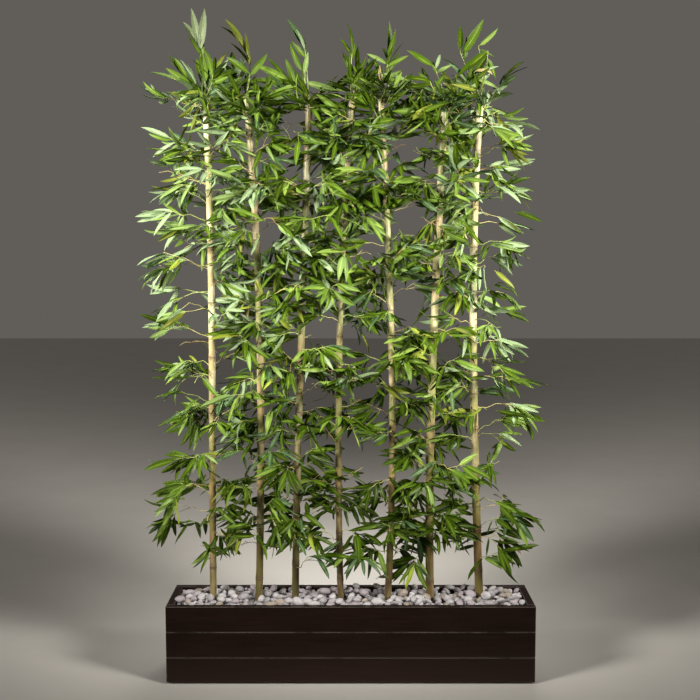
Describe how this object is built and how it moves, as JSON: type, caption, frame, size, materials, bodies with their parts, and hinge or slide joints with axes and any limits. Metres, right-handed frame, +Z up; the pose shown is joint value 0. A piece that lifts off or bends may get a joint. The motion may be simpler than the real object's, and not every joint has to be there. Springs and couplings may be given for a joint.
{
  "type": "artificial bamboo screen in a planter",
  "caption": "Artificial bamboo screen: slim cane stems with sprays of silk leaves, standing in pebbles in a long slatted planter box.",
  "frame": {"origin": "on the floor under the middle of the planter, on the underside of its middle runner", "axes": "+Z up, +X along the planter to the right as seen from the front, +Y to the back"},
  "size_m": [1.1177, 0.3495, 1.816],
  "materials": {
    "planter": "satin",
    "feet": "matte",
    "fill": "matte",
    "pebbles": "matte",
    "cane": "satin",
    "foliage": "satin"
  },
  "bodies": {
    "root": {"foot_left": "feet", "foot_middle": "feet", "foot_right": "feet", "front_board_low": "planter", "front_board_middle": "planter", "front_board_top": "planter", "back_board_low": "planter", "back_board_middle": "planter", "back_board_top": "planter", "left_board_low": "planter", "left_board_middle": "planter", "left_board_top": "planter", "right_board_low": "planter", "right_board_middle": "planter", "right_board_top": "planter", "floor_board": "planter", "corner_post_front_left": "planter", "corner_post_front_right": "planter", "corner_post_back_left": "planter", "corner_post_back_right": "planter", "fill_block": "fill", "pebble_bed": "pebbles", "cane_1": "cane", "cane_2": "cane", "cane_3": "cane", "cane_4": "cane", "cane_5": "cane", "cane_6": "cane", "cane_7": "cane", "leaves_1_foot": "foliage", "leaves_1_low": "foliage", "leaves_1_middle": "foliage", "leaves_1_high": "foliage", "leaves_1_crown": "foliage", "leaves_2_low": "foliage", "leaves_2_middle": "foliage", "leaves_2_high": "foliage", "leaves_2_crown": "foliage", "leaves_3_low": "foliage", "leaves_3_middle": "foliage", "leaves_3_high": "foliage", "leaves_3_crown": "foliage", "leaves_4_low": "foliage", "leaves_4_middle": "foliage", "leaves_4_high": "foliage", "leaves_4_crown": "foliage", "leaves_5_low": "foliage", "leaves_5_middle": "foliage", "leaves_5_high": "foliage", "leaves_5_crown": "foliage", "leaves_6_low": "foliage", "leaves_6_middle": "foliage", "leaves_6_high": "foliage", "leaves_6_crown": "foliage", "leaves_7_foot": "foliage", "leaves_7_low": "foliage", "leaves_7_middle": "foliage", "leaves_7_high": "foliage", "leaves_7_crown": "foliage"}
  },
  "joints": []
}
